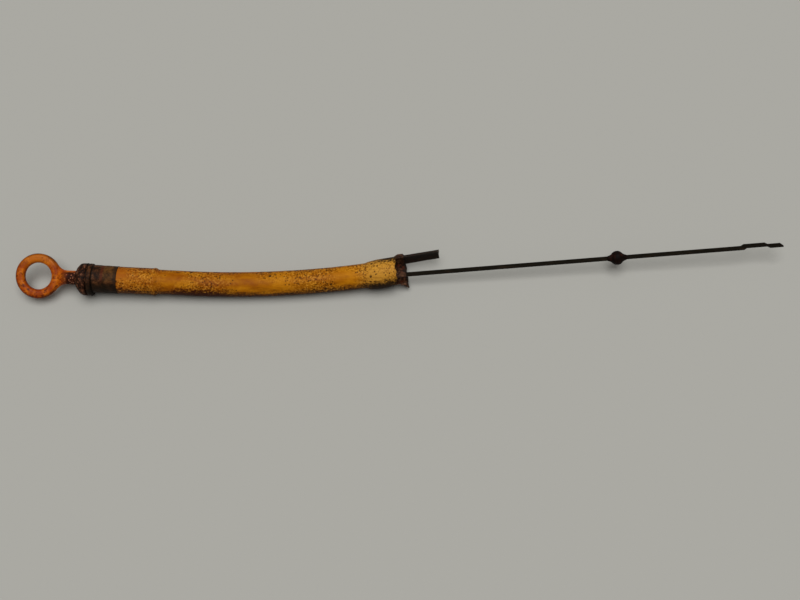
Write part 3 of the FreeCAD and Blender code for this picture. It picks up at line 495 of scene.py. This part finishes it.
def varnished_steel():
    # Spring steel strip, rolled, then browned by baked-on oil: nearly black, with a dull sheen and
    # drawn-out brown patches. Where it lies in the broken socket it is caked as the torn wall is.
    made, add = new_material("oil_varnished_spring_steel")
    place = add("ShaderNodeTexCoord").outputs["Object"]
    drawn_out = add("ShaderNodeMapping", {"Vector": place, "Scale": (0.25, 1, 1)})
    film = {"Vector": drawn_out, "Scale": grain(2.2), "Detail": 6, "Roughness": 0.7}
    film = add("ShaderNodeTexNoise", film)
    darks = [(0.36, "#070501"), (0.54, "#100C06"), (0.7, "#241A10")]
    base = add("ShaderNodeValToRGB", {"Fac": film}, darks)
    rough = {"Value": film, "From Min": 0.35, "From Max": 0.7, "To Min": 0.42, "To Max": 0.66}
    rough = add("ShaderNodeMapRange", rough)
    along = add("ShaderNodeSeparateXYZ", {"Vector": place}).outputs["X"]
    caked = {"Value": along, "From Min": STRIP_CAKED[0], "From Max": STRIP_CAKED[1]}
    caked = add("ShaderNodeMapRange", caked)
    deep = {"Value": along, "From Min": STRIP_DEEP[0], "From Max": STRIP_DEEP[1]}
    deep = add("ShaderNodeMapRange", deep)
    caked = add("ShaderNodeMath", {0: caked, 1: deep}, operation="MULTIPLY")
    mottle = {"Vector": place, "Scale": grain(CRUST_GRAIN), "Detail": 6, "Roughness": 0.75}
    mottle = add("ShaderNodeTexNoise", mottle)
    crust = add("ShaderNodeValToRGB", {"Fac": mottle}, CRUST)
    base = add("ShaderNodeMix", {SHARE: caked, UNDER: base, OVER: crust}, data_type="RGBA")
    metal = add("ShaderNodeMapRange", {"Value": caked, "To Min": 0.7, "To Max": 0.0})
    bump = add("ShaderNodeBump", {"Height": mottle, "Strength": 0.3, "Distance": 0.4 * MM})
    finish = {"Roughness": rough, "Normal": bump, "Metallic": metal, "Specular IOR Level": 0.1}
    shader = add("ShaderNodeBsdfPrincipled", {"Base Color": base, **finish})
    add("ShaderNodeOutputMaterial", {"Surface": shader})
    return made


def brown_bead_nylon():
    # Nylon bead moulded on the strip, stained right through by oil: nearly black with reddish lights.
    made, add = new_material("oil_soaked_brown_nylon")
    place = add("ShaderNodeTexCoord").outputs["Object"]
    stain = {"Vector": place, "Scale": grain(2.6), "Detail": 5, "Roughness": 0.7}
    stain = add("ShaderNodeTexNoise", stain)
    darks = [(0.4, "#060200"), (0.54, "#0E0401"), (0.66, "#301208")]
    base = add("ShaderNodeValToRGB", {"Fac": stain}, darks)
    bump = add("ShaderNodeBump", {"Height": stain, "Strength": 0.4, "Distance": 0.6 * MM})
    finish = {"Roughness": 0.58, "Normal": bump, "IOR": 1.53, "Specular IOR Level": 0.06}
    shader = add("ShaderNodeBsdfPrincipled", {"Base Color": base, **finish})
    add("ShaderNodeOutputMaterial", {"Surface": shader})
    return made


def spun(bm, longest, steps):
    """Divides a profile's long runs and turns it all the way round X."""
    for edge in bm.edges[:]:
        cuts = math.ceil(edge.calc_length() / longest) - 1
        if cuts > 0:
            bmesh.ops.subdivide_edges(bm, edges=[edge], cuts=cuts)
    # half a step round, so that no row of points lies in the plane of the bend
    bmesh.ops.rotate(bm, verts=bm.verts, matrix=Matrix.Rotation(math.pi / steps, 3, "X"))
    line = bm.verts[:] + bm.edges[:]
    about = {"axis": (1, 0, 0), "cent": (0, 0, 0)}
    bmesh.ops.spin(bm, geom=line, angle=math.tau, steps=steps, use_merge=True, **about)
    bmesh.ops.remove_doubles(bm, verts=bm.verts, dist=SAME)
    bmesh.ops.recalc_face_normals(bm, faces=bm.faces)
    return bm


def turned(profile, longest, rounds=(), steps=96):
    """Shape turned from corners of station and radius. Rounds are pairs of a corner's number and
    how far from it its rounding starts. A profile that starts on X is left open there."""
    bm = bmesh.new()
    corners = [bm.verts.new((x, r, 0)) for x, r in profile]
    follow = corners[1:] if profile[0][1] == 0 else corners[1:] + corners[:1]
    for pair in zip(corners, follow):
        bm.edges.new(pair)
    for number, size in rounds:
        bmesh.ops.bevel(
            bm,
            geom=[corners[number]],
            offset=size,
            segments=5,
            profile=0.5,
            affect="VERTICES",
            material=-1,
        )
    return spun(bm, longest, steps)


def weathered(bm, depth, size, seed):
    """Sinks the surface in lumps of about one size, and raises it nowhere."""
    bm.normal_update()
    apart = Vector((seed, 2 * seed, 3 * seed))
    sunk = [(v, v.normal * depth * (noise.noise(v.co / size + apart) - 1) / 2) for v in bm.verts]
    for vert, move in sunk:
        vert.co += move


def placed_round(bm):
    """Keeps, for the stains, how far along the axis each point lies and which side of it."""
    along = bm.verts.layers.float.new("along")
    side = bm.verts.layers.float.new("side")
    for v in bm.verts:
        v[along] = v.co.x
        v[side] = v.co.y / max(v.co.yz.length, SAME)


def bent(bm, run, radius, turn):
    """Carries a straight shape onto a line that runs straight, bends to +Y and runs straight on."""
    for v in bm.verts:
        swing = min(max((v.co.x - run) / radius, 0), turn)
        past = v.co.x - run - swing * radius
        centre = Vector((run + radius * math.sin(swing), radius * (1 - math.cos(swing)), 0))
        v.co = centre + Matrix.Rotation(swing, 3, "Z") @ Vector((past, v.co.y, v.co.z))


def cocked(bm):
    """Sets the bell low on the tube's end and turns it further round, easing in over its ramp."""
    for v in bm.verts:
        part = min(max((v.co.x - BELL_START) / BELL_RAMP, 0), 1)
        ease = part * part * (3 - 2 * part)
        out = Matrix.Rotation(BELL_COCK * ease, 3, "Z") @ Vector((v.co.x - BELL_START, v.co.y, v.co.z))
        v.co = out + Vector((BELL_START, -BELL_DROP * ease, 0))


def block(corners, low, high, rag, seed):
    """Upright block on an outline in the socket's own plane, with ragged walls."""
    bm = bmesh.new()
    base = bm.faces.new([bm.verts.new((BELL_START + x, y, low)) for x, y in corners])
    grown = bmesh.ops.extrude_face_region(bm, geom=[base])["geom"]
    raised = [v for v in grown if isinstance(v, bmesh.types.BMVert)]
    bmesh.ops.translate(bm, vec=(0, 0, high - low), verts=raised)
    uprights = [e for e in bm.edges if abs(e.verts[0].co.z - e.verts[1].co.z) > SAME]
    bmesh.ops.subdivide_edges(bm, edges=uprights, cuts=UPRIGHT_CUTS)
    level = [e for e in bm.edges if abs(e.verts[0].co.z - e.verts[1].co.z) < SAME]
    bmesh.ops.subdivide_edges(bm, edges=level, cuts=LEVEL_CUTS)
    for v in bm.verts:
        spot = v.co / RAG_SIZE + Vector((seed, seed, seed))
        v.co.x += rag * noise.noise(spot)
        v.co.y += rag * noise.noise(spot.yzx)
    bmesh.ops.recalc_face_normals(bm, faces=bm.faces)
    return bm


def in_order(bm):
    """Puts a shape's elements in one order, so that runs differ as little as can be."""
    bm.verts.sort(key=lambda v: v.co.dot(SLANT))
    bm.edges.sort(key=lambda e: (e.verts[0].co + e.verts[1].co).dot(SLANT))
    bm.faces.sort(key=lambda f: f.calc_center_median().dot(SLANT))


def joined(body, tool, operation):
    """Body with a tool cut away or added on."""
    pair = []
    for bm in (body, tool):
        in_order(bm)
        mesh = bpy.data.meshes.new("joining")
        bm.to_mesh(mesh)
        bm.free()
        pair.append(bpy.data.objects.new("joining", mesh))
        bpy.context.scene.collection.objects.link(pair[-1])
    change = pair[0].modifiers.new("joining", "BOOLEAN")
    change.object = pair[1]
    change.operation = operation
    change.solver = "EXACT"
    made = bmesh.new()
    made.from_object(pair[0], bpy.context.evaluated_depsgraph_get())
    for obj in pair:
        mesh = obj.data
        bpy.data.objects.remove(obj)
        bpy.data.meshes.remove(mesh)
    in_order(made)
    return made


def finished(name, bm, materials, body, replaced):
    """Lays a shape down as an object that rides on its body and stands for its CAD node."""
    bm.transform(LIE)
    bm.normal_update()
    for face in bm.faces:
        face.smooth = True
    for edge in bm.edges:
        edge.smooth = len(edge.link_faces) == 2 and edge.calc_face_angle(0) < CRISP
    mesh = bpy.data.meshes.new(name)
    bm.to_mesh(mesh)
    bm.free()
    for material in materials:
        mesh.materials.append(material)
    obj = bpy.data.objects.new(name, mesh)
    bpy.context.scene.collection.objects.link(obj)
    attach(obj, body)
    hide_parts(replaced)


# Guide tube: spigot, band, ridge, straight run, bend and bell, turned straight and then broken.
wall = turned(
    [
        (TUBE_TOP, BORE),
        (TUBE_TOP, SPIGOT),
        (COLLAR_END, SPIGOT),
        (COLLAR_END, BAND),
        (BAND_END, BAND),
        (RIDGE_START, RIDGE),
        (RIDGE_END, RIDGE),
        (RIDGE_FOOT, TUBE),
        (BELL_START, TUBE),
        (BELL_START + BELL_FOOT, BELL_FOOT_RADIUS),
        (BELL_START + BELL_RAMP, BELL_RAMP_RADIUS),
        (BELL_START + BELL_CREST, BELL),
        (BELL_START + TONGUE_END, BELL_MOUTH),
        (BELL_START + TONGUE_END, SOCKET),
        (BELL_START + SHOULDER, SOCKET),
        (BELL_START + SHOULDER, BORE),
    ],
    longest=2.0,
)
weathered(wall, depth=0.16, size=5.0, seed=2)
# Outlines of what is broken off, as stations from the bell's start and distances to the bend's inside.
# The two broken edges are given from their own stations.
FAR = TONGUE_END + 6
WIDE = 17.5
UPPER_EDGE = [(3.5, 11.3), (2.0, 9.9), (1.2, 6.4), (0.1, 2.3)]
UPPER_EDGE += [(1.1, -0.7), (0.2, -2.8), (0.7, -5.8), (-0.7, -9.2)]
UNDER_EDGE = [(0.2, 4.6), (0.6, 1.2), (-0.3, -2.3), (0.4, -5.8), (-0.2, -9.2)]
upper = [(UPPER_BREAK + out, off) for out, off in UPPER_EDGE]
under = [(UNDER_BREAK + out, off) for out, off in UNDER_EDGE]
upper = [(FAR, -WIDE), (FAR, WIDE), (upper[0][0], WIDE), *upper, (upper[-1][0], -WIDE)]
beside_tongue = [(FAR, -WIDE), (FAR, TONGUE_INNER), (TONGUE_ROOT, TONGUE_INNER)]
under = [*beside_tongue, *under, (under[-1][0], -WIDE)]
notch = [(17.5, -WIDE), (28.8, -WIDE), (27.8, -9.5), (22.4, -10.2), (17.5, -BELL)]
tongue_end = [(TONGUE_END, WIDE), (TONGUE_END - TONGUE_WORN, 7), (TONGUE_END, -WIDE)]
tongue_end = [(FAR, -WIDE), (FAR, WIDE), *tongue_end]
wall = joined(wall, block(upper, 0, WIDE, RAG, seed=3), "DIFFERENCE")
wall = joined(wall, block(under, -WIDE, 0, RAG, seed=7), "DIFFERENCE")
wall = joined(wall, block(notch, -WIDE, WIDE, NOTCH_RAG, seed=11), "DIFFERENCE")
wall = joined(wall, block(tongue_end, -WIDE, WIDE, RAG, seed=13), "DIFFERENCE")
# A flake splayed outwards and a shard left on the inside of the bend.
flake = [(29.0, -10.3), (33.6, -10.3), (34.1, -13.6), (33.1, -13.6)]
shard = [(24.6, 10.3), (34.6, 10.3), (32.8, 12.4), (28.6, 12.4)]
wall = joined(wall, block(flake, -4.4, -2.5, FINE_RAG, seed=5), "UNION")
wall = joined(wall, block(shard, -2.6, -0.2, FINE_RAG, seed=9), "UNION")
bmesh.ops.remove_doubles(wall, verts=wall.verts, dist=SAME_AT_TEARS)
# The torn rim of the under wall, which was cut level, is uneven.
LEVEL = 0.02
TORN_DEPTH = 0.7
TORN_SIZE = 1.6
for v in wall.verts:
    if v.co.x > BELL_START + UPPER_BREAK and abs(v.co.z) < LEVEL:
        v.co.z -= TORN_DEPTH * abs(noise.noise(v.co / TORN_SIZE))
placed_round(wall)
wall.normal_update()
# What faces inwards shows the sooty inside. Past the shoulder so do the tears, which face along the tube.
INWARDS = -0.5
TORN = 0.45
for face in wall.faces:
    middle = face.calc_center_median()
    facing = face.normal.dot(Vector((0, middle.y, middle.z)).normalized())
    face.material_index = int(facing < (TORN if middle.x > BELL_START + SHOULDER else INWARDS))
cocked(wall)
bent(wall, STRAIGHT_RUN, BEND_RADIUS, BEND_TURN)
finished("tube_wall", wall, [yellow_nylon(), sooty_nylon()], "guide", "guide_tube")

# Collar: tapered sleeve over the tube's top end, with a thick rim that sits low on it.
rim = [(SEAT, RIM_INNER), (SEAT, RIM), (RIM_END, RIM), (RIM_END, RIM_INNER)]
rim = turned(rim, longest=1.0, rounds=[(1, 0.9), (2, 1.5)])
bmesh.ops.translate(rim, vec=(0, -RIM_DROP, 0), verts=rim.verts)
sleeve = [
    (SEAT, BORE),
    (SEAT, SLEEVE),
    (RIM_END, SLEEVE),
    (COLLAR_END, SLEEVE_END_RADIUS),
    (COLLAR_END, SPIGOT),
    (TUBE_TOP, SPIGOT),
    (TUBE_TOP, BORE),
]
sleeve = joined(turned(sleeve, longest=1.0, rounds=[(3, 0.3)]), rim, "UNION")
placed_round(sleeve)
weathered(sleeve, depth=0.3, size=2.4, seed=4)
finished("collar_sleeve", sleeve, [sleeve_rubber()], "guide", "collar")

# Stopper: a leaning head, turned too long and cut square at its back, and the plug with its lips.
HEAD_LONG = SEAT + 0.8
head = [
    (HEAD_FRONT, 0),
    (HEAD_FRONT, HEAD_FRONT_RADIUS),
    *DOME,
    (0, FLANGE),
    (HEAD_LONG, FLANGE),
    (HEAD_LONG, 0),
]
head = turned(head, longest=1.0, rounds=[(1, 0.5), (2, 0.9), (3, 0.8), (4, 0.6)])
lean = Matrix.Translation((0, -HEAD_DROP, 0)) @ Matrix.Rotation(HEAD_TILT, 4, "Z")
bmesh.ops.transform(head, matrix=lean, verts=head.verts)
everything = head.verts[:] + head.edges[:] + head.faces[:]
square = {"plane_co": (FLANGE_BACK, 0, 0), "plane_no": (1, 0, 0), "clear_outer": True}
cut = bmesh.ops.bisect_plane(head, geom=everything, **square)["geom_cut"]
bmesh.ops.edgeloop_fill(head, edges=[e for e in cut if isinstance(e, bmesh.types.BMEdge)])
bmesh.ops.recalc_face_normals(head, faces=head.faces)
weathered(head, depth=0.35, size=1.9, seed=6)
plug = [(0, 0), (0, SEAT_RADIUS), (SEAT, SEAT_RADIUS), (SEAT, PLUG_CORE)]
for start in LIP_STARTS:
    plug += [(start, PLUG_CORE), (start + LIP_TOP, PLUG_LIP)]
    plug += [(start + LIP_TOP_END, PLUG_LIP), (start + LIP_END, PLUG_CORE)]
plug += [(PLUG_END - PLUG_CHAMFER, PLUG_CORE), (PLUG_END, PLUG_CORE - PLUG_CHAMFER), (PLUG_END, 0)]
plug = joined(head, turned(plug, longest=1.0), "UNION")
# the way for the stem and its pin, longer than the stopper at both ends
WAY_START = -12
WAY_END = 27
way = [(WAY_START, 0), (WAY_START, STEM), (STEM_END, STEM)]
way += [(STEM_END, STEM_PIN), (WAY_END, STEM_PIN), (WAY_END, 0)]
plug = joined(plug, turned(way, longest=4.0), "DIFFERENCE")
placed_round(plug)
finished("stopper_plug", plug, [caked_rubber()], "dipstick", "stopper")

# Bead: a ball with a short tail at each end, lumpy with varnish.
olive = bmesh.new()
right = olive.verts.new((BALL * math.cos(BALL_EDGE), BALL * math.sin(BALL_EDGE), 0))
sweep = {"axis": (0, 0, 1), "cent": (0, 0, 0), "angle": math.pi - 2 * BALL_EDGE, "steps": 18}
arc_end = bmesh.ops.spin(olive, geom=[right], **sweep)["geom_last"]
left = next(v for v in arc_end if isinstance(v, bmesh.types.BMVert))
for near, out in ((right, TAIL), (left, -TAIL)):
    tail = olive.verts.new((out, TAIL_RADIUS, 0))
    olive.edges.new((near, tail))
    olive.edges.new((tail, olive.verts.new((out, 0, 0))))
olive = spun(olive, longest=0.8, steps=64)
weathered(olive, depth=0.3, size=2.2, seed=8)
bmesh.ops.translate(olive, vec=(STRIP_START + BEAD_STATION, 0, 0), verts=olive.verts)
bent(olive, STRIP_RUN, STRIP_RADIUS, STRIP_TURN)
finished("strip_bead", olive, [brown_bead_nylon()], "dipstick", "bead")

# Handle and strip keep the solids' own shapes.
for name, material in (("handle", orange_nylon()), ("blade", varnished_steel())):
    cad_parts[name].data.materials[0] = material

# Floor: plain, pale and matt.
FLOOR_HALF = 6
floor_mesh = bpy.data.meshes.new("floor")
ground = bmesh.new()
bmesh.ops.create_grid(ground, x_segments=1, y_segments=1, size=FLOOR_HALF)
ground.to_mesh(floor_mesh)
ground.free()
floor = bpy.data.objects.new("floor", floor_mesh)
bpy.context.scene.collection.objects.link(floor)
paint, add = new_material("pale_matt_floor")
finish = {"Base Color": colour("#ABAAA4"), "Roughness": 0.75, "Specular IOR Level": 0.2}
add("ShaderNodeOutputMaterial", {"Surface": add("ShaderNodeBsdfPrincipled", finish)})
floor_mesh.materials.append(paint)

# Light: a faint soft sky, and one broad lamp straight overhead that lights all of the floor alike.
SKY = 0.22
LAMP_SPREAD = math.radians(50)
LAMP_STRENGTH = 2.35
world = bpy.data.worlds.new("studio")
bpy.context.scene.world = world
world.use_nodes = True
world.node_tree.nodes.clear()
add = partial(node, world.node_tree)
ray = add("ShaderNodeLightPath").outputs
seen = add("ShaderNodeMath", {0: ray["Is Camera Ray"], 1: ray["Is Glossy Ray"]}, operation="MAXIMUM")
seen = add("ShaderNodeMath", {0: seen, 1: ray["Is Transmission Ray"]}, operation="MAXIMUM")
sky = add("ShaderNodeBackground", {"Color": colour("#FFFDF8"), "Strength": SKY})
backdrop = add("ShaderNodeBackground", {"Color": colour("#A9A8A1"), "Strength": 1.0})
mixed = add("ShaderNodeMixShader", {0: seen, 1: sky, 2: backdrop})
add("ShaderNodeOutputWorld", {"Surface": mixed})
lamp = bpy.data.lights.new("broad_lamp", "SUN")
lamp.angle = LAMP_SPREAD
lamp.energy = LAMP_STRENGTH
lamp_object = bpy.data.objects.new("broad_lamp", lamp)
bpy.context.scene.collection.objects.link(lamp_object)

# Camera: square onto the plane of the bend, with the straight run falling a little to the right. The
# focal length is in pixels, and one pixel at the tube is PIXEL mm.
IMAGE_WIDTH = 800
PIXEL = 0.75
FOCAL = 1100.0
FALL = math.radians(2.86)
AIM = (237.5, -4.5)
camera = bpy.data.cameras.new("camera")
camera.sensor_width = 36
camera.lens = FOCAL / IMAGE_WIDTH * camera.sensor_width
camera_object = bpy.data.objects.new("camera", camera)
stand = Matrix.Translation(SHIFT) @ TURNED
spot = Matrix.Translation(Vector((*AIM, FOCAL * PIXEL)) * MM)
camera_object.matrix_world = stand @ spot @ Matrix.Rotation(FALL, 4, "Z")
bpy.context.scene.collection.objects.link(camera_object)
bpy.context.scene.camera = camera_object
bpy.context.scene.view_settings.view_transform = "Standard"
